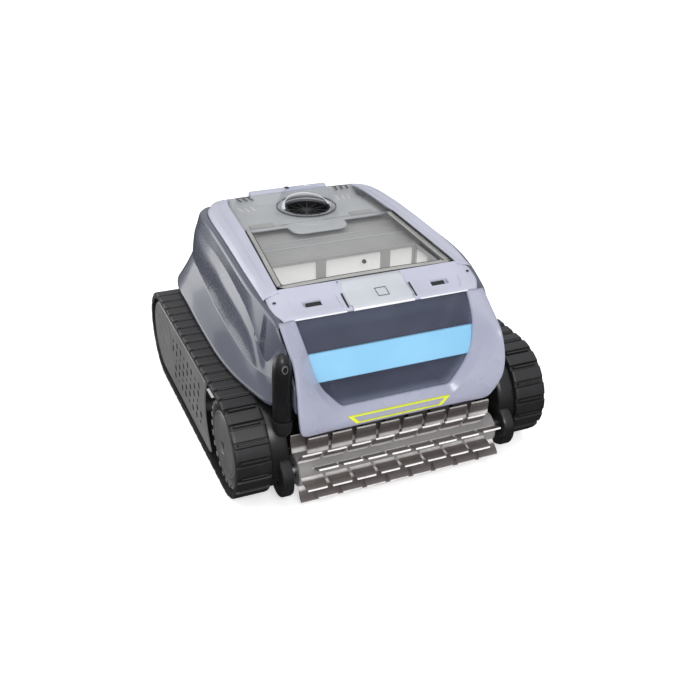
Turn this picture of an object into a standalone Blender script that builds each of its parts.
"""Cordless tracked pool cleaner, built as the separate pieces it comes apart into.

Frame: +X is the machine's left-to-right width, -Y its front (handle, brush), +Z up.
The origin is on the floor under the middle of the machine's box. Shapes are drawn with y
counted from midway between the wheel axles; one empty carries them all to the origin.
Lengths are metres.
"""

from math import atan2, cos, pi, radians, sin

import bmesh
import bpy
from mathutils import Vector

MM = 0.001
GAP = 0.3 * MM                      # clearance between pieces that touch

# Driving dimensions
AXLES_BEHIND_ORIGIN = 14.2 * MM     # the brush makes the front overhang longer than the rear
TRACK_OUTER_X = 215 * MM            # outer face of a track belt
TRACK_INNER_X = 171 * MM            # inner face of a track belt
TRACK_R = 67.8 * MM                 # outer radius round a wheel, lugs included
AXLE_Y = 152.5 * MM                 # wheel axles, in front of and behind the middle
AXLE_Z = TRACK_R
BELT_T = 5.2 * MM                   # belt without its lugs
LUG_H = 3.6 * MM
LUG_COUNT = 46
WHEEL_R = 58.4 * MM
AXLE_R = 6 * MM

TRAY_HALF_X = 146 * MM
TRAY_FRONT_Y = -158 * MM
TRAY_REAR_Y = 190 * MM
TRAY_FLOOR_Z = 19 * MM
TRAY_TOP_Z = 137.6 * MM
WALL = 3 * MM
SHELL_FOOT_Z = TRAY_TOP_Z + 0.7 * MM
SHELL_FLANGE_W = 12 * MM            # the shell's bottom flange, which stands on the tray
RECESS_FLOOR_Y = -138.5 * MM        # back wall of the handle recess

BRUSH_Y = -205 * MM
BRUSH_Z = 45 * MM
BRUSH_R = 43.4 * MM
BRUSH_HALF_X = 138 * MM
BRUSH_CORE_R = 24 * MM
BRUSH_ROWS = 10
BRUSH_PADDLES = 8                   # paddles in a row

CASE_INNER_X = 146.4 * MM           # inboard face of a gear case
CASE_OUTER_X = 170.4 * MM
CASE_R = 63 * MM
GEAR_X = 154 * MM                   # inboard face of every gear
GEAR_W = 6 * MM
GEAR_MODULE = 1.8 * MM
WHEEL_TEETH = 36
BRUSH_TEETH = 27
MOTOR_TEETH = 9
GEAR_PLAY = 0.5 * MM                # added to each centre distance

PUMP_Y = 110 * MM                   # axis of the jet pump and its outlet
OUTLET_R = 36 * MM
LID_T = 3 * MM
HINGE_Y = 188 * MM                  # lid hinge axis, in the strip at the rear
HINGE_Z = 256 * MM
HINGE_PIN_R = 2 * MM
STRIP_HALF_X = 60 * MM
STRIP_CUT_Y = 177.9 * MM            # the lid ends here in front of the strip
BUTTON_PLACE = (-2 * MM, HINGE_Y)

BASKET_X = 112 * MM
BASKET_FRONT_Y = -111 * MM
BASKET_REAR_Y = -21 * MM
BASKET_FLOOR_Z = 124 * MM
BASKET_TOP_Z = 241 * MM
THROAT_X = 60 * MM                  # half width of the suction throat
THROAT_Y = -66 * MM
THROAT_HALF_Y = 17 * MM

PLUG_X = -151.6 * MM                # charging plug at the left front corner
PLUG_Y = -205 * MM
PLUG_R = 12.2 * MM

SIDES = (("left", -1), ("right", 1))


# ---------------------------------------------------------------- materials

def finish(name, colour, roughness, metallic=0.0):
    """A plain Principled material."""
    made = bpy.data.materials.new(name)
    made.use_nodes = True
    shader = made.node_tree.nodes["Principled BSDF"]
    shader.inputs["Base Color"].default_value = (*colour, 1)
    shader.inputs["Roughness"].default_value = roughness
    shader.inputs["Metallic"].default_value = metallic
    return made


for scene_object in list(bpy.data.objects):
    bpy.data.objects.remove(scene_object)

SLATE = finish("slate_blue_abs", (0.13, 0.15, 0.19), 0.3)
LAVENDER = finish("lavender_abs", (0.52, 0.54, 0.66), 0.35)
BLACK = finish("black_pp", (0.02, 0.02, 0.022), 0.5)
CHARCOAL = finish("charcoal_pp", (0.08, 0.08, 0.08), 0.45)
RUBBER = finish("black_rubber", (0.025, 0.025, 0.025), 0.7)
SKY = finish("sky_blue_tpe", (0.3, 0.68, 0.93), 0.4)
LIME = finish("lime_ink", (0.7, 0.76, 0.08), 0.4)
SILVER = finish("silver_pc", (0.62, 0.63, 0.65), 0.3)
SMOKE = finish("smoked_pc", (0.3, 0.31, 0.32), 0.08)
CLEAR = finish("clear_pc", (0.8, 0.82, 0.84), 0.05)
GREY = finish("grey_abs", (0.35, 0.35, 0.36), 0.5)
MESH = finish("white_mesh", (0.85, 0.86, 0.86), 0.8)
PVC = finish("grey_pvc", (0.3, 0.28, 0.28), 0.55)
STEEL = finish("stainless_steel", (0.6, 0.6, 0.6), 0.3, 1.0)
ACETAL = finish("white_acetal", (0.8, 0.8, 0.78), 0.4)


# ---------------------------------------------------------------- solids

def loft(sections, closed=False):
    """Skin closed sections of equal length, capped at both ends unless closed in a ring."""
    shape = bmesh.new()
    rows = [[shape.verts.new(point) for point in section] for section in sections]
    pairs = list(zip(rows, rows[1:]))
    if closed:
        pairs.append((rows[-1], rows[0]))
    for first, second in pairs:
        for i in range(len(first)):
            j = (i + 1) % len(first)
            shape.faces.new((first[i], first[j], second[j], second[i]))
    if not closed:
        shape.faces.new(rows[0])
        shape.faces.new(rows[-1])
    bmesh.ops.recalc_face_normals(shape, faces=shape.faces)
    return shape


def on_axis(axis, along, u, v):
    """A point at `along` on an axis, u and v on the other two."""
    return {"X": (along, u, v), "Y": (u, along, v), "Z": (u, v, along)}[axis]


def prism(outline, axis, low, high):
    """An outline of (u, v) points extruded along an axis."""
    return loft([[on_axis(axis, along, u, v) for u, v in outline] for along in (low, high)])


def box(low, high):
    """An axis-aligned block between two corners."""
    outline = [(low[0], low[1]), (high[0], low[1]), (high[0], high[1]), (low[0], high[1])]
    return prism(outline, "Z", low[2], high[2])


def turned(profile, axis, centre=(0, 0), segments=24):
    """A solid of revolution: (along, radius) stations from one end to the other."""
    return loft([circle_section(axis, along, radius, centre, segments)
                 for along, radius in profile])


def circle_section(axis, along, radius, centre, segments):
    """A circle of points about an axis."""
    angles = [2 * pi * i / segments for i in range(segments)]
    return [on_axis(axis, along, centre[0] + radius * cos(a), centre[1] + radius * sin(a))
            for a in angles]


def turned_ring(profile, axis, centre=(0, 0), segments=24):
    """A ring of revolution from a closed (along, radius) profile."""
    sections = []
    for i in range(segments):
        a = 2 * pi * i / segments
        sections.append([on_axis(axis, along, centre[0] + r * cos(a), centre[1] + r * sin(a))
                         for along, r in profile])
    return loft(sections, closed=True)


def tube(axis, low, high, outer, inner, centre=(0, 0), segments=24):
    """A straight round tube."""
    profile = [(low, outer), (high, outer), (high, inner), (low, inner)]
    return turned_ring(profile, axis, centre, segments)


def merged(shapes):
    """Several bmeshes as one, still separate bodies."""
    whole = bmesh.new()
    for shape in shapes:
        mesh = bpy.data.meshes.new("piece")
        shape.to_mesh(mesh)
        whole.from_mesh(mesh)
        shape.free()
    return whole


# ---------------------------------------------------------------- objects

MACHINE = bpy.data.objects.new("machine", None)
MACHINE.location = (0, AXLES_BEHIND_ORIGIN, 0)
bpy.context.scene.collection.objects.link(MACHINE)


def pivot(name, place, parent=MACHINE):
    """An empty on a joint's axis, the parent of what turns about it."""
    empty = bpy.data.objects.new(name, None)
    empty.parent = parent
    empty.location = Vector(place) - (parent_place(parent))
    bpy.context.scene.collection.objects.link(empty)
    return empty


def parent_place(parent):
    """Where a chain of empties stands in the machine."""
    place = Vector((0, 0, 0))
    while parent != MACHINE:
        place += parent.location
        parent = parent.parent
    return place


def part(name, shape, material, parent=MACHINE, sharp=32):
    """An object made from a bmesh drawn in the machine's coordinates, its origin on its parent."""
    origin = parent_place(parent)
    bmesh.ops.translate(shape, verts=shape.verts, vec=-origin)
    mesh = bpy.data.meshes.new(name)
    shape.to_mesh(mesh)
    shape.free()
    mesh.shade_smooth()
    mesh.set_sharp_from_angle(angle=radians(sharp))
    mesh.materials.append(material)
    made = bpy.data.objects.new(name, mesh)
    made.parent = parent
    bpy.context.scene.collection.objects.link(made)
    return made


def boolean(target, shapes, operation, crossing=False):
    """Cut shapes from a part, or join them to it; `crossing` shapes overlap each other."""
    whole = merged(shapes)
    origin = parent_place(target.parent)
    bmesh.ops.translate(whole, verts=whole.verts, vec=-origin)
    mesh = bpy.data.meshes.new(target.name + "_tool")
    whole.to_mesh(mesh)
    whole.free()
    tool = bpy.data.objects.new(target.name + "_tool", mesh)
    tool.parent = target.parent
    tool.hide_render = True
    tool.display_type = "WIRE"
    bpy.context.scene.collection.objects.link(tool)
    modifier = target.modifiers.new(operation.lower(), "BOOLEAN")
    modifier.operation = operation
    modifier.object = tool
    modifier.use_self = crossing


# ---------------------------------------------------------------- shared curves

def between(value, table):
    """Straight-line reading of a table of (key, value) rows."""
    if value <= table[0][0]:
        return table[0][1]
    for (k0, v0), (k1, v1) in zip(table, table[1:]):
        if value <= k1:
            return v0 + (v1 - v0) * (value - k0) / (k1 - k0)
    return table[-1][1]


# The lid's surface, front to back: (y, value) in millimetres
LID_CROWN_Z = ((-157, 228.5), (-150, 230.5), (-135, 235), (-113, 247.5), (-60, 251.9),
               (54, 261), (110, 262.3), (165, 262.5), (191, 260))
LID_EDGE_Z = ((-157, 228), (-150, 230.5), (-135, 234.5), (-113, 241), (-60, 247.5),
              (0, 251), (54, 253), (110, 253.2), (160, 252.6), (191, 251.5))
LID_EDGE_X = ((-157, 134), (-150, 138), (-135, 141), (-113, 142.5), (-60, 143),
              (0, 141), (54, 139), (110, 137), (160, 132), (178, 126), (191, 112))
PANE_EDGE_X = ((-113, 123), (54, 110.8), (191, 100))


def lid_point(x_share, y):
    """A point on the lid's top: x_share is 0 on the centre line, 1 at the pane edge, 2 outside."""
    y_mm = y / MM
    pane_x = min(between(y_mm, PANE_EDGE_X), between(y_mm, LID_EDGE_X) - 12) * MM
    edge_x = between(y_mm, LID_EDGE_X) * MM
    crown = between(y_mm, LID_CROWN_Z) * MM
    edge = between(y_mm, LID_EDGE_Z) * MM
    side = 1 if x_share >= 0 else -1
    share = abs(x_share)
    if share <= 1:
        return Vector((side * share * pane_x, y, crown))
    return Vector((side * (pane_x + (share - 1) * (edge_x - pane_x)), y,
                   crown + (share - 1) * (edge - crown)))


def lid_rim(side, y_out, y_mid, y_in):
    """A row across the lid's side flange, from its outer edge to the pane."""
    return [lid_point(2 * side, y_out), lid_point(1.5 * side, y_mid), lid_point(side, y_in)]


def lid_slice(y, share, gap=0.0):
    """A four-sided slice across the lid between -share and +share of its width."""
    left = lid_point(-share, y) + Vector((gap, 0, 0))
    right = lid_point(share, y) - Vector((gap, 0, 0))
    drop = Vector((0, 0, LID_T))
    return [left, right, right - drop, left - drop]


# ---------------------------------------------------------------- body shell

def shell_station(ledge, seam, crease, waist, rim):
    """A closed section of the shell wall, from its lid ledge down to its bottom flange."""
    def inward(point, amount, up=0.0):
        flat = Vector((point[0], point[1], 0))
        flat.normalize()
        return Vector(point) - flat * amount * MM + Vector((0, 0, up * MM))
    foot = Vector((rim[0], rim[1], SHELL_FOOT_Z / MM))
    flange = inward(foot * MM, SHELL_FLANGE_W / MM)
    outer = [Vector(p) * MM for p in (ledge, seam, crease, waist, rim)]
    outer.append(foot * MM)
    inner = [flange, flange + Vector((0, 0, 2.6 * MM)),
             inward(foot * MM, 3.4, 2.6),
             inward(Vector(waist) * MM, 3), inward(Vector(crease) * MM, 3, -0.5),
             inward(Vector(seam) * MM, 3.2, -3.2), Vector(ledge) * MM - Vector((0, 0, 3 * MM))]
    return outer + inner


# ledge, seam, upper crease, waist, rim of the left wall, front to back, in millimetres
SIDE_STATIONS = (
    ((-125, -150, 223), (-138.4, -161, 223.8), (-138.4, -190, 204), (-138.6, -220, 168),
     (-138.6, -221, 141.5)),
    ((-127, -146, 224.2), (-139.6, -157, 225.4), (-139.2, -176, 206), (-139.2, -189, 168),
     (-139.2, -190.5, 141.5)),
    ((-131, -140, 226), (-142.5, -142, 229.6), (-147, -160, 208), (-155, -188, 168),
     (-159, -192.5, 141.5)),
    ((-135, -119, 234), (-146.2, -115, 236.5), (-151, -124, 213), (-159, -148, 167),
     (-170, -167, 141.5)),
    ((-137, -86, 240), (-149.3, -84, 240.5), (-154, -88, 221), (-161, -100, 163),
     (-181.5, -112, 141.5)),
    ((-137, -45, 243.5), (-149.6, -45, 243.6), (-154, -45, 224), (-161, -49, 160),
     (-186, -56, 141.5)),
    ((-135.5, 4, 246), (-147.8, 4, 245.5), (-153, 4, 226.5), (-160.5, 4, 162), (-186, 0, 141.5)),
    ((-133.5, 56, 248), (-145.8, 56, 247.4), (-151.5, 56, 228), (-159, 56, 166),
     (-185, 50, 141.5)),
    ((-131, 110, 248.4), (-144.2, 110, 248.6), (-150.5, 111, 229), (-157, 112, 171),
     (-183, 105, 141.5)),
    ((-126, 158, 247), (-141.5, 163, 247), (-148, 166, 229), (-153.5, 168, 176),
     (-180.5, 162, 141.5)),
    ((-117, 176, 245), (-133, 186, 245), (-140, 191, 228), (-146, 196, 179),
     (-169, 202, 141.5)),
    ((-104, 183, 244), (-116, 195, 245), (-121, 201, 228), (-125, 207, 179),
     (-140, 217, 141.5)),
    ((-60, 184, 244), (-60, 199, 245), (-60, 205, 228), (-60, 211, 179), (-60, 220, 141.5)),
)


def front_station(x):
    """A section, at x, of the wall between the handle recess and the basket bay."""
    points = ((-118, 229), (-133.5, 227), (-134, 224), (-134, 217), (-131, 145), (-131, 138.3),
              (-118, 138.3), (-118, 140.9), (-128, 140.9), (-128, 150), (-128, 215),
              (-124, 224.6), (-118, 226))
    return [Vector((x, y, z)) * MM for y, z in points]


def mirror_section(section):
    """The same section on the other side of the machine."""
    return [Vector((-p.x, p.y, p.z)) for p in section]


def make_shell():
    """The slate outer shell: one ring of wall round the machine, open above and below."""
    left = [shell_station(*station) for station in SIDE_STATIONS]
    front = [front_station(x) for x in (118, 60, 0, -60, -118)]
    ring = front + left + [mirror_section(s) for s in reversed(left)]
    part("main_shell", loft(ring, closed=True), SLATE, sharp=28)


def make_hinge():
    """The strip across the rear of the shell that holds the lid's hinge pin."""
    outline = ((197, 245.4), (196.8, 257), (194, 262.8), (190.5, 264.4), (185.5, 264.4),
               (181.8, 261.8), (179.6, 257.5), (179.8, 252), (183, 247.5), (184, 245.4))
    strip = part("hinge_strip", prism([(y * MM, z * MM) for y, z in outline], "X",
                                      -STRIP_HALF_X, STRIP_HALF_X), LAVENDER)
    ends = STRIP_HALF_X + 10 * MM
    axis = (HINGE_Y, HINGE_Z)
    boolean(strip, [turned([(-ends, HINGE_PIN_R + GAP), (ends, HINGE_PIN_R + GAP)], "X",
                           axis, 16)], "DIFFERENCE")
    boolean(strip, [turned([(259 * MM, 4.4 * MM), (0.3, 4.4 * MM)], "Z", BUTTON_PLACE, 16)],
            "DIFFERENCE")
    part("hinge_pin", turned([(-ends, HINGE_PIN_R), (ends, HINGE_PIN_R)], "X", axis, 16), STEEL)
    press = pivot("button_axis", (*BUTTON_PLACE, 262 * MM))
    part("power_button", turned([(260.5 * MM, 4 * MM), (264.7 * MM, 4 * MM),
                                 (265.3 * MM, 2.8 * MM)], "Z", BUTTON_PLACE, 16), BLACK, press)


# ---------------------------------------------------------------- front

# outer edge, lip line and opening edge of the left half of the front, top to middle
FRONT_STATIONS = (
    ((-137, -163.5, 224.4), (-124, -160, 223), (-118.5, -157, 221.8)),
    ((-136.8, -190, 207), (-123, -181, 208), (-116.5, -174, 210)),
    ((-137, -213.6, 190.5), (-121.5, -197, 191.5), (-113.6, -187, 192.7)),
    ((-138, -224.7, 165.7), (-116, -207, 167), (-108, -196, 168.5)),
    ((-137.6, -226.5, 148), (-106, -210.5, 146), (-99, -199, 149)),
    ((-136, -225.3, 131), (-95, -211.5, 130.5), (-87.5, -202, 136)),
    ((-129.5, -214, 101.5), (-82, -211.5, 115), (-76.5, -203.5, 122.5)),
    ((-118, -211.5, 97.5), (-74, -211.3, 113), (-71, -203.5, 121)),
    ((-60, -211, 97.5), (-50, -211, 113), (-48, -203.5, 121)),
    ((0, -211, 97.5), (0, -211, 113), (0, -203.5, 121)),
)


def front_path():
    """Stations round the U of the front, from the left top to the right top."""
    left = [[Vector(p) * MM for p in row] for row in FRONT_STATIONS]
    right = [[Vector((-p.x, p.y, p.z)) for p in row] for row in reversed(left[:-1])]
    return left + right


def make_front():
    """The lavender fascia round the handle opening, and the outline on its lower edge."""
    back = Vector((0, 2.6 * MM, 0))
    sections = []
    for outer, lip, opening in front_path():
        sections.append([outer, lip, opening, opening + back, lip + back, outer + back])
    part("front_fascia", loft(sections), LAVENDER, sharp=30)

    badge_y = -211.4 * MM
    outline = ((-70.4, 111.3), (70.4, 111.3), (60, 98.6), (-60, 98.6))
    inset = ((-65.5, 109.6), (65.5, 109.6), (58, 100.3), (-58, 100.3))
    sections = []
    for (x0, z0), (x1, z1) in zip(outline, inset):
        sections.append([Vector((x0 * MM, badge_y, z0 * MM)), Vector((x1 * MM, badge_y, z1 * MM)),
                         Vector((x1 * MM, badge_y - 0.6 * MM, z1 * MM)),
                         Vector((x0 * MM, badge_y - 0.6 * MM, z0 * MM))])
    part("badge_outline", loft(sections, closed=True), LIME)


def make_recess():
    """The slate bowl behind the opening, where the fingers go round the handle."""
    rim = [opening + Vector((0, 3.4 * MM, 0)) for _, _, opening in front_path()]
    centre = Vector((0, 0, 172 * MM))
    straight = 16 * MM
    skin = 2.4 * MM

    def loop(share, back, grow=0.0, floor=0.0):
        points = []
        for p in rim:
            flat = Vector((p.x, 0, p.z)) - centre
            flat = flat * share + flat.normalized() * grow
            depth = RECESS_FLOOR_Y + floor if back is None else p.y + back
            depth = min(depth, RECESS_FLOOR_Y - 3.5 * MM) if back else depth
            points.append(Vector((flat.x, depth, flat.z + centre.z)))
        return points

    loops = [loop(0.8, None, skin, skin), loop(1.0, straight, skin), loop(1.0, 0, skin),
             loop(1.0, 0), loop(1.0, straight), loop(0.8, None)]
    part("handle_recess", loft(loops), SLATE, sharp=40)


def make_handle():
    """The flat blue carrying bar across the opening."""
    rows = ((-184.5, 192.2, 111), (-197.2, 158.6, 102))
    back = Vector((0, 10.5 * MM, 4 * MM))
    sections = []
    for side in (-1, 1):
        top, bottom = [Vector((side * half, y, z)) * MM for y, z, half in rows]
        middle = (top + bottom) / 2 + Vector((0, -1.2 * MM, 0))
        sections.append([top, middle, bottom, bottom + back, top + back])
    part("carry_handle", loft(sections), SKY)


def front_beam():
    """The tray's nose under the front, which carries the fascia over the brush."""
    outline = ((-206, 99), (-206, 110), (-200, 116.8), (-157, 116.8), (-157, 92), (-195, 92))
    return prism([(y * MM, z * MM) for y, z in outline], "X", -128 * MM, 128 * MM)


# ---------------------------------------------------------------- lid

def make_lid(axis):
    """Everything that lifts with the lid."""
    side_rows = (-113, -60, 0, 54, 110, 160, 178)
    left = [lid_rim(-1, y * MM, y * MM, y * MM) for y in side_rows]
    left.append(lid_rim(-1, 191 * MM, 187 * MM, 183 * MM))
    front = [lid_rim(-1, -135 * MM, -126 * MM, -113 * MM)]
    front.append([lid_point(-1.9, -150 * MM), lid_point(-1.4, -133 * MM),
                  lid_point(-1, -113 * MM)])
    for share in (0.97, 0.4):
        front.append([lid_point(-share, y * MM) for y in (-157, -135, -113)])
    half = front[::-1] + left
    ring = half + [[Vector((-p.x, p.y, p.z)) for p in row] for row in reversed(half)]
    drop = Vector((0, 0, LID_T))
    sections = [row + [p - drop for p in reversed(row)] for row in ring]
    frame = part("lid_frame", loft(sections, closed=True), LAVENDER, axis)
    hinge_gap = box((-STRIP_HALF_X - GAP, STRIP_CUT_Y, 0.2), (STRIP_HALF_X + GAP, 0.21, 0.3))
    boolean(frame, [hinge_gap], "DIFFERENCE")
    knuckles = []
    for side in (-1, 1):
        low, high = sorted((side * (STRIP_HALF_X + GAP), side * (STRIP_HALF_X + 8 * MM)))
        outline = [(HINGE_Y + 5 * MM * cos(a), HINGE_Z + 5 * MM * sin(a))
                   for a in (pi * i / 6 - pi / 2 for i in range(13))]
        knuckles.append(prism(outline[:-1], "X", low, high))
    boolean(frame, knuckles, "UNION")
    bore = STRIP_HALF_X + 12 * MM
    boolean(frame, [turned([(-bore, HINGE_PIN_R + GAP), (bore, HINGE_PIN_R + GAP)], "X",
                           (HINGE_Y, HINGE_Z), 16)], "DIFFERENCE")
    slots = []
    for side in (-1, 1):
        slots.append(box(((side * 84.5 - 11) * MM, -138 * MM, 225 * MM),
                         ((side * 84.5 + 11) * MM, -132 * MM, 240 * MM)))
    boolean(frame, slots, "DIFFERENCE")

    pane = [lid_slice(y * MM, 1, GAP) for y in (-112.6, -60, 0, 53.7)]
    part("lid_window", loft(pane), SMOKE, axis)
    rear = [lid_slice(y * MM, 1, GAP) for y in (54.1, 110, 165, 182.6)]
    rear_panel = part("lid_rear_panel", loft(rear), SILVER, axis)
    boolean(rear_panel, [box((-STRIP_HALF_X - 1 * MM, STRIP_CUT_Y, 0.2),
                             (STRIP_HALF_X + 1 * MM, 0.21, 0.3))], "DIFFERENCE")
    boolean(rear_panel, [turned([(240 * MM, OUTLET_R), (280 * MM, OUTLET_R)], "Z",
                                (0, PUMP_Y), 32)], "DIFFERENCE")

    sections = []
    for i in range(32):
        a = 2 * pi * i / 32
        rear_share = (1 + sin(a)) / 2
        top = (266 + 18.5 * rear_share ** 0.8) * MM
        lean = -3.5 * MM * rear_share
        base, rim, wall = 42 * MM, 37.5 * MM - 2 * MM * rear_share, 2.4 * MM
        floor = 262.9 * MM
        ring = [(base, floor, 0), (rim + 1.5 * MM, top - 0.5 * MM, lean), (rim, top, lean),
                (rim - wall, top - 1 * MM, lean), (base - 4.5 * MM, floor, 0)]
        sections.append([Vector((r * cos(a), PUMP_Y + r * sin(a) + y, z)) for r, z, y in ring])
    part("outlet_cowl", loft(sections, closed=True), CLEAR, axis)

    for name, side in SIDES:
        place = lid_point(side * 1.55, -128 * MM)
        head = [(place.z + 1.2 * MM, 2.4 * MM), (place.z + 2.2 * MM, 1.7 * MM)]
        part(f"lid_screw_{name}", turned(head, "Z", (place.x, place.y), 12), STEEL, axis)

    ring = []
    for x_share, y in ((-1.55, -105), (-1.6, -40), (-1.6, 50), (-1.6, 140), (-1.4, 172),
                       (1.4, 172), (1.6, 140), (1.6, 50), (1.6, -40), (1.55, -105)):
        p = lid_point(x_share, y * MM)
        outward = 1 if x_share > 0 else -1
        top = p.z - LID_T - 0.8 * MM
        ring.append([Vector((p.x, p.y, top)), Vector((p.x - outward * 3 * MM, p.y, top)),
                     Vector((p.x - outward * 3 * MM, p.y, top - 1.6 * MM)),
                     Vector((p.x, p.y, top - 1.6 * MM))])
    part("lid_seal", loft(ring, closed=True), RUBBER, axis)


def make_latch(axis):
    """The silver tab in the middle of the lid's front edge."""
    rows = ((-117.6, 247.1), (-136, 236.3), (-151, 231.9), (-158.6, 229.9), (-159.4, 226.6))
    lift = 0.9
    outer = [(y, z + lift + 1.7) for y, z in rows]
    inner = [(y, z + lift) for y, z in rows]
    outline = outer + inner[::-1]
    shape = prism([(y * MM, z * MM) for y, z in outline], "X", -45 * MM, 45 * MM)
    part("latch_tab", shape, SILVER, axis)
    part("latch_pin", turned([(-47.6 * MM, 1.2 * MM), (-45.3 * MM, 1.2 * MM)], "X",
                             (-117.6 * MM, 248.9 * MM), 10), STEEL, axis)


# ---------------------------------------------------------------- chassis

def make_chassis():
    """The black tray that everything bolts to, with its two suction mouths."""
    tray = part("chassis_tray", box((-TRAY_HALF_X, TRAY_FRONT_Y, TRAY_FLOOR_Z),
                                    (TRAY_HALF_X, TRAY_REAR_Y, TRAY_TOP_Z)), BLACK)
    cuts = [box((-TRAY_HALF_X + WALL, TRAY_FRONT_Y + WALL, TRAY_FLOOR_Z + WALL),
                (TRAY_HALF_X - WALL, TRAY_REAR_Y - WALL, TRAY_TOP_Z + 0.02)),
            box((-118 * MM, TRAY_FRONT_Y - 0.01, 121 * MM),
                (118 * MM, TRAY_FRONT_Y + 0.02, TRAY_TOP_Z + 0.01))]
    for side in (-1, 1):
        middle = side * 29 * MM
        cuts.append(box((middle - 27 * MM, THROAT_Y - 14 * MM, 0),
                        (middle + 27 * MM, THROAT_Y + 14 * MM, TRAY_FLOOR_Z + 0.01)))
    shaft_y, shaft_z = motor_place()
    for side in (-1, 1):
        ends = sorted((side * (TRAY_HALF_X - 0.01), side * (TRAY_HALF_X + 0.01)))
        cuts.append(turned([(ends[0], 4 * MM), (ends[1], 4 * MM)], "X", (shaft_y, shaft_z), 16))
    boolean(tray, cuts, "DIFFERENCE", crossing=True)
    boolean(tray, [front_beam()], "UNION")

    low = (-THROAT_X, THROAT_Y - THROAT_HALF_Y, TRAY_FLOOR_Z + WALL + GAP)
    high = (THROAT_X, THROAT_Y + THROAT_HALF_Y, BASKET_FLOOR_Z - GAP)
    throat = part("suction_throat", box(low, high), GREY)
    boolean(throat, [box((low[0] + 2.5 * MM, low[1] + 2.5 * MM, 0),
                         (high[0] - 2.5 * MM, high[1] - 2.5 * MM, 0.2))], "DIFFERENCE")


def make_deck():
    """The grey deck over the pump and electronics, seen under the window."""
    deck = part("pump_deck", box((-126 * MM, -17 * MM, 237 * MM), (126 * MM, 172 * MM, 240 * MM)),
                GREY)
    skirt = box((-122 * MM, -14.5 * MM, 141 * MM), (122 * MM, -12 * MM, 238 * MM))
    boolean(deck, [skirt], "UNION")
    boolean(deck, [turned([(230 * MM, 33 * MM), (250 * MM, 33 * MM)], "Z", (0, PUMP_Y), 32)],
            "DIFFERENCE")


def make_pump():
    """Jet pump: duct, motor, shaft, impeller, seal and the grille in the outlet."""
    duct = [(180 * MM, 35.5 * MM), (236.5 * MM, 35.5 * MM), (236.5 * MM, 32.5 * MM),
            (183 * MM, 32.5 * MM), (183 * MM, 15 * MM), (180 * MM, 15 * MM)]
    part("pump_duct", turned_ring(duct, "Z", (0, PUMP_Y), 28), BLACK)

    collar = [(240.4 * MM, 35.4 * MM), (257.5 * MM, 33.6 * MM), (257.5 * MM, 31.4 * MM),
              (240.4 * MM, 31.4 * MM)]
    grille = part("outlet_grille", turned_ring(collar, "Z", (0, PUMP_Y), 28), BLACK)
    bars = [turned([(254.4 * MM, 8 * MM), (257.2 * MM, 7 * MM)], "Z", (0, PUMP_Y), 16)]
    for i in range(6):
        a = pi * i / 6 + 0.13
        across = Vector((-sin(a), cos(a), 0)) * 0.9 * MM
        along = Vector((cos(a), sin(a), 0)) * 32.4 * MM
        centre = Vector((0, PUMP_Y, 0))
        low, high = Vector((0, 0, 254.8 * MM)), Vector((0, 0, 256.8 * MM))
        corners = [along + across, along - across, -along - across, -along + across]
        bars.append(loft([[centre + c + low for c in corners], [centre + c + high for c in corners]]))
    boolean(grille, bars, "UNION", crossing=True)

    spin = pivot("impeller_axis", (0, PUMP_Y, 215 * MM))
    impeller = part("impeller", turned([(216 * MM, 11 * MM), (230 * MM, 10 * MM),
                                        (234 * MM, 6 * MM)], "Z", (0, PUMP_Y), 20), CHARCOAL, spin)
    blades = []
    for i in range(5):
        sections = []
        for share in (0, 1):
            radius = (8 + 22 * share) * MM
            twist = radians(34 - 16 * share)
            a = 2 * pi * i / 5
            out = Vector((cos(a), sin(a), 0))
            side = Vector((-sin(a), cos(a), 0))
            chord = (side * cos(twist) + Vector((0, 0, sin(twist)))) * (6 + 5 * share) * MM
            thick = (-side * sin(twist) + Vector((0, 0, cos(twist)))) * 0.8 * MM
            middle = Vector((0, PUMP_Y, 223 * MM)) + out * radius
            sections.append([middle + chord + thick, middle - chord + thick,
                             middle - chord - thick, middle + chord - thick])
        blades.append(loft(sections))
    boolean(impeller, blades, "UNION")
    boolean(impeller, [turned([(210 * MM, 3.3 * MM), (228 * MM, 3.3 * MM)], "Z", (0, PUMP_Y), 16)],
            "DIFFERENCE")
    part("pump_shaft", turned([(172.4 * MM, 3 * MM), (227.4 * MM, 3 * MM)], "Z", (0, PUMP_Y), 16),
         STEEL, spin)
    part("pump_motor", turned([(60 * MM, 22 * MM), (63 * MM, 26 * MM), (160 * MM, 26 * MM),
                               (172 * MM, 14 * MM)], "Z", (0, PUMP_Y), 24), CHARCOAL)
    part("shaft_seal", tube("Z", 172.5 * MM, 179.6 * MM, 9 * MM, 3.4 * MM, (0, PUMP_Y), 16),
         RUBBER)


def make_electronics():
    """Battery pack on the left and control box on the right, inside the tray."""
    for name, side, depth in (("battery_pack", -1, 170), ("control_box", 1, 120)):
        low, high = sorted((side * 44 * MM, side * 138 * MM))
        case = box((low, 20 * MM, 26 * MM), (high, depth * MM, 104 * MM))
        bmesh.ops.bevel(case, geom=case.edges[:], offset=5 * MM, segments=1, affect="EDGES")
        part(name, case, CHARCOAL)


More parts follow.
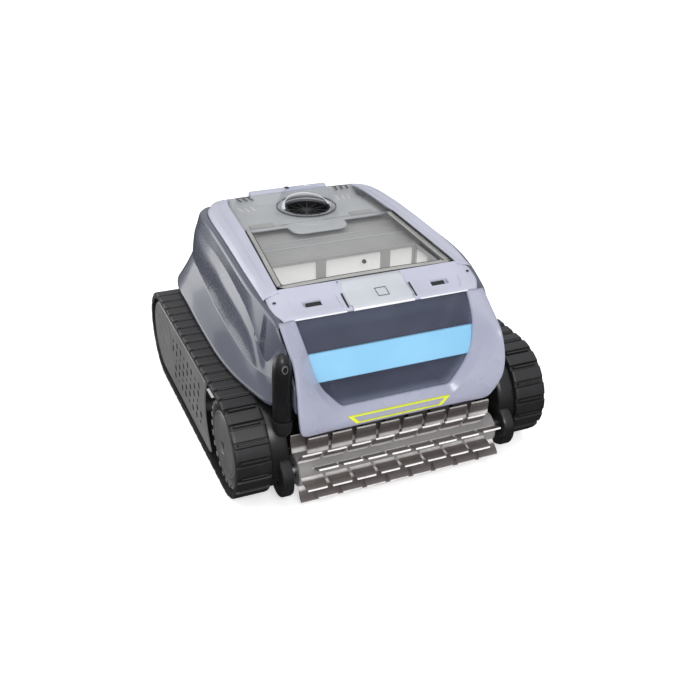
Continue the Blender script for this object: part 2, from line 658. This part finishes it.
def make_plug():
    """Charging socket at the left front corner and the boot that closes it."""
    centre = (PLUG_X, PLUG_Y)
    socket = [(115.6 * MM, 10.2 * MM), (124.5 * MM, 12 * MM), (124.5 * MM, 6.4 * MM),
              (118.4 * MM, 6.4 * MM), (118.4 * MM, 3 * MM), (115.6 * MM, 3 * MM)]
    part("charge_socket", turned_ring(socket, "Z", centre, 24), BLACK)
    slide = pivot("plug_axis", (PLUG_X, PLUG_Y, 125 * MM))
    boot = [(119 * MM, 5.2 * MM), (124.9 * MM, 6 * MM), (125 * MM, PLUG_R),
            (148 * MM, PLUG_R), (180 * MM, PLUG_R), (197 * MM, 11.4 * MM),
            (206 * MM, 9 * MM), (211 * MM, 5.4 * MM), (213 * MM, 2 * MM)]
    cap = part("charge_plug", turned(boot, "Z", centre, 24), RUBBER, slide)
    eye = turned([(-0.235, 3.2 * MM), (-0.17, 3.2 * MM)], "Y", (PLUG_X, 198 * MM), 16)
    boolean(cap, [eye], "DIFFERENCE")


# ---------------------------------------------------------------- filter

def make_filter():
    """The lift-out basket: a ribbed frame with a mesh panel on each side."""
    frame = part("filter_frame", box((-BASKET_X, BASKET_FRONT_Y, BASKET_FLOOR_Z),
                                     (BASKET_X, BASKET_REAR_Y, BASKET_TOP_Z)), GREY)
    rib = 3.4 * MM
    cuts = [box((-BASKET_X + rib, BASKET_FRONT_Y + rib, BASKET_FLOOR_Z + WALL),
                (BASKET_X - rib, BASKET_REAR_Y - rib, 0.3))]
    sill, head = BASKET_FLOOR_Z + 8 * MM, BASKET_TOP_Z - 5 * MM
    for left, right in ((-106, -37), (-23, 58), (72, 106)):
        cuts.append(box((left * MM, -0.2, sill), (right * MM, 0.1, head)))
    for front, rear in ((-105, -70), (-62, -27)):
        cuts.append(box((-0.2, front * MM, sill), (0.2, rear * MM, head)))
    boolean(frame, [box((-THROAT_X, THROAT_Y - 14 * MM, 0.1),
                        (THROAT_X, THROAT_Y + 14 * MM, 0.13))], "DIFFERENCE")
    boolean(frame, cuts, "DIFFERENCE", crossing=True)

    def sleeve(grow):
        x, front, rear = BASKET_X + grow, BASKET_FRONT_Y - grow, BASKET_REAR_Y + grow
        return [(-x, front), (x, front), (x, rear), (-x, rear)]
    low_z, high_z = BASKET_FLOOR_Z + 3 * MM, BASKET_TOP_Z - 1.5 * MM
    sections = []
    for (x0, y0), (x1, y1) in zip(sleeve(GAP), sleeve(1.5 * MM)):
        sections.append([(x0, y0, low_z), (x1, y1, low_z), (x1, y1, high_z), (x0, y0, high_z)])
    part("filter_mesh", loft(sections, closed=True), MESH)

    for name, side in SIDES:
        hinge = pivot(f"flap_axis_{name}", (0, THROAT_Y + 12.6 * MM, BASKET_FLOOR_Z + 6.4 * MM))
        low, high = sorted((side * 1.2 * MM, side * 57 * MM))
        flap = box((low, THROAT_Y - 13 * MM, BASKET_FLOOR_Z + 5.2 * MM),
                   (high, THROAT_Y + 13.8 * MM, BASKET_FLOOR_Z + 7.4 * MM))
        part(f"suction_flap_{name}", flap, RUBBER, hinge)


# ---------------------------------------------------------------- drive

def belt_outline():
    """Stations round the track: centre of travel, outward direction, lug height share."""
    straight = 2 * AXLE_Y
    turn = pi * (TRACK_R - LUG_H)
    length = 2 * (straight + turn)
    pitch = length / LUG_COUNT
    stations = []
    for i in range(LUG_COUNT):
        for share, height in ((0.0, 0.0), (0.07, 1.0), (0.68, 1.0), (0.75, 0.0)):
            stations.append((((i + share) * pitch) % length, height))
    result = []
    for s, height in stations:
        if s < straight:
            centre, angle = (AXLE_Y - s, AXLE_Z), pi / 2
        elif s < straight + turn:
            centre, angle = (-AXLE_Y, AXLE_Z), pi / 2 + pi * (s - straight) / turn
        elif s < 2 * straight + turn:
            centre, angle = (-AXLE_Y + s - straight - turn, AXLE_Z), -pi / 2
        else:
            centre, angle = (AXLE_Y, AXLE_Z), -pi / 2 + pi * (s - 2 * straight - turn) / turn
        result.append((Vector((0, *centre)), Vector((0, cos(angle), sin(angle))), height))
    return result


def make_track(name, side):
    """One rubber belt with its cross lugs."""
    inner_r = TRACK_R - LUG_H - BELT_T
    sections = []
    for centre, out, height in belt_outline():
        top = TRACK_R - LUG_H * (1 - height)
        ring = [(TRACK_INNER_X, inner_r), (TRACK_INNER_X, top), (TRACK_OUTER_X, top),
                (TRACK_OUTER_X, inner_r)]
        sections.append([centre + out * r + Vector((side * x, 0, 0)) for x, r in ring])
    part(f"track_{name}", loft(sections, closed=True), RUBBER)


def make_wheel(end, name, side, place_y, parent):
    """A ribbed plastic road wheel with its bush bore."""
    outer_x = 207.6 if end == "rear" else 210
    bore, tread = AXLE_R / MM + 0.3, WHEEL_R / MM
    profile = [(173, 16), (173, bore), (207, bore), (207, 16), (199, 18), (199, 47),
               (outer_x, 51), (outer_x, tread), (174, tread), (174, 49), (186, 47), (186, 18)]
    shape = turned_ring([(side * x * MM, r * MM) for x, r in profile], "X",
                        (place_y, AXLE_Z), 32)
    part(f"{end}_wheel_{name}", shape, CHARCOAL, parent)


def gear_outline(teeth, centre, tooth_angle):
    """A spur gear's edge as (y, z) points, one tooth centred on tooth_angle."""
    pitch_r = GEAR_MODULE * teeth / 2
    step = 2 * pi / teeth
    points = []
    for i in range(teeth):
        middle = tooth_angle + i * step
        for offset, radius in ((-0.30, pitch_r - 1.15 * GEAR_MODULE),
                               (-0.13, pitch_r + 0.85 * GEAR_MODULE),
                               (0.13, pitch_r + 0.85 * GEAR_MODULE),
                               (0.30, pitch_r - 1.15 * GEAR_MODULE)):
            a = middle + offset * step
            points.append((centre[0] + radius * cos(a), centre[1] + radius * sin(a)))
    return points


def brush_angle():
    """Direction from the front axle to the brush axle, in the side view."""
    return atan2(BRUSH_Z - AXLE_Z, BRUSH_Y + AXLE_Y)


def motor_angle():
    """Direction from the front axle to the motor shaft, whole teeth away from the brush."""
    return brush_angle() + 16 * 2 * pi / WHEEL_TEETH


def motor_place():
    """The motor shaft's place in the side view."""
    reach = GEAR_MODULE * (WHEEL_TEETH + MOTOR_TEETH) / 2 + GEAR_PLAY
    return (-AXLE_Y + reach * cos(motor_angle()), AXLE_Z + reach * sin(motor_angle()))


def make_gear(name, teeth, centre, tooth_angle, side, bore, parent):
    """A spur gear in a gear case."""
    low, high = sorted((side * GEAR_X, side * (GEAR_X + GEAR_W)))
    gear = part(name, prism(gear_outline(teeth, centre, tooth_angle), "X", low, high),
                ACETAL, parent)
    boolean(gear, [turned([(low - 0.01, bore), (high + 0.01, bore)], "X", centre, 20)],
            "DIFFERENCE")


def make_gear_case(name, side):
    """The round case between the chassis and the front of a track."""
    def span(low, high):
        return sorted((side * low, side * high))
    axle, brush = (-AXLE_Y, AXLE_Z), (BRUSH_Y, BRUSH_Z)
    low, high = span(CASE_INNER_X, CASE_OUTER_X)
    case = part(f"gear_case_{name}", turned([(low, CASE_R), (high, CASE_R)], "X", axle, 32),
                CHARCOAL)
    low, high = span(CASE_INNER_X, 162 * MM)
    boolean(case, [turned([(low, 29.5 * MM), (high, 29.5 * MM)], "X", brush, 24)], "UNION")
    cuts = []
    low, high = span(151 * MM, 180 * MM)
    cuts.append(turned([(low, 60 * MM), (high, 60 * MM)], "X", axle, 32))
    boolean(case, cuts, "DIFFERENCE")
    boolean(case, [turned([(low, 27 * MM), (high, 27 * MM)], "X", brush, 24)], "DIFFERENCE")
    low, high = span(140 * MM, 152 * MM)
    holes = [turned([(low, AXLE_R + GAP), (high, AXLE_R + GAP)], "X", axle, 20),
             turned([(low, 8.3 * MM), (high, 8.3 * MM)], "X", brush, 20),
             turned([(low, 4 * MM), (high, 4 * MM)], "X", motor_place(), 16)]
    boolean(case, holes, "DIFFERENCE")


def make_drive(name, side):
    """Wheels, axles, caps, gears, motor, case and side plate of one side."""
    def along(*stations):
        return [(side * x * MM, r * MM) for x, r in stations]

    for end, y in (("front", -AXLE_Y), ("rear", AXLE_Y)):
        axis = pivot(f"{end}_{name}_axis", (side * 190 * MM, y, AXLE_Z))
        make_wheel(end, name, side, y, axis)
        start = 147 if end == "front" else 146.4
        bar = along((start, AXLE_R / MM), (206.6, AXLE_R / MM))
        part(f"{end}_axle_{name}", turned(bar, "X", (y, AXLE_Z), 20), STEEL)
        if end == "front":
            cap = along((207.4, 40), (211.4, 38), (213.4, 30), (213.8, 12))
            part(f"front_hub_cap_{name}", turned(cap, "X", (y, AXLE_Z), 32), CHARCOAL, axis)
            make_gear(f"wheel_gear_{name}", WHEEL_TEETH, (y, AXLE_Z), brush_angle(), side,
                      AXLE_R + 0.4 * MM, axis)

    shaft = motor_place()
    motor_axis = pivot(f"motor_{name}_axis", (side * 157 * MM, *shaft))
    half_tooth = pi / MOTOR_TEETH
    make_gear(f"motor_pinion_{name}", MOTOR_TEETH, shaft, motor_angle() + pi + half_tooth, side,
              2.4 * MM, motor_axis)
    part(f"drive_motor_{name}", turned(along((88, 16), (91, 18), (142.4, 18), (142.6, 3.2),
                                             (146, 2), (161, 2)), "X", shaft, 24), STEEL)
    make_gear_case(name, side)

    plate_x = (209.6, 213)
    outline = []
    for i in range(9):
        a = -pi / 2 + pi * i / 8
        outline.append((AXLE_Y + 55 * MM * cos(a), AXLE_Z + 55 * MM * sin(a)))
    for i in range(9):
        a = radians(40 - 80 * i / 8)
        outline.append((-AXLE_Y + 84 * MM * cos(a), AXLE_Z + 84 * MM * sin(a)))
    plate = part(f"side_plate_{name}", prism(outline, "X", *sorted(side * x * MM for x in plate_x)),
                 CHARCOAL)
    posts = []
    for y in (-55, 0, 60):
        posts.append(turned(along((147, 8), (211, 8)), "X", (y * MM, AXLE_Z), 16))
    boolean(plate, posts, "UNION")


# ---------------------------------------------------------------- brush

def make_brush():
    """Roller brush: ribbed PVC sleeve with paddles, on a steel shaft in two bushes."""
    axis = pivot("brush_axis", (0, BRUSH_Y, BRUSH_Z))
    centre = (BRUSH_Y, BRUSH_Z)
    roller = part("brush_roller", tube("X", -BRUSH_HALF_X, BRUSH_HALF_X, BRUSH_CORE_R, 8.2 * MM,
                                       centre, 20), PVC, axis, sharp=25)
    pitch = 2 * BRUSH_HALF_X / (BRUSH_PADDLES + 0.5)
    paddles = []
    for row in range(BRUSH_ROWS):
        a = 2 * pi * row / BRUSH_ROWS
        out = Vector((0, cos(a), sin(a)))
        across = Vector((0, -sin(a), cos(a))) * 0.9 * MM
        middle = Vector((0, *centre))
        for i in range(BRUSH_PADDLES):
            left = -BRUSH_HALF_X + (i + 0.5 * (row % 2)) * pitch + 1.5 * MM
            right = left + pitch - 6 * MM
            sections = []
            for radius in (BRUSH_CORE_R - 3 * MM, BRUSH_R):
                base = middle + out * radius
                sections.append([base + across + Vector((left, 0, 0)),
                                 base + across + Vector((right, 0, 0)),
                                 base - across + Vector((right, 0, 0)),
                                 base - across + Vector((left, 0, 0))])
            paddles.append(loft(sections))
    boolean(roller, paddles, "UNION")
    part("brush_shaft", turned([(-149.5 * MM, 5 * MM), (-148.6 * MM, 7.6 * MM),
                                (148.6 * MM, 7.6 * MM), (149.5 * MM, 5 * MM)], "X", centre, 20),
         STEEL, axis)
    gap_angle = brush_angle() + pi + pi / BRUSH_TEETH
    make_gear("brush_gear", BRUSH_TEETH, centre, gap_angle, -1, 5.3 * MM, axis)


# ---------------------------------------------------------------- assembly

make_shell()
make_front()
make_hinge()
make_recess()
make_handle()
lid_axis = pivot("lid_axis", (0, HINGE_Y, HINGE_Z))
make_lid(lid_axis)
latch_axis = pivot("latch_axis", (0, -117.6 * MM, 249 * MM), lid_axis)
make_latch(latch_axis)
make_chassis()
make_deck()
make_pump()
make_electronics()
make_plug()
make_filter()
for side_name, side_sign in SIDES:
    make_track(side_name, side_sign)
    make_drive(side_name, side_sign)
make_brush()
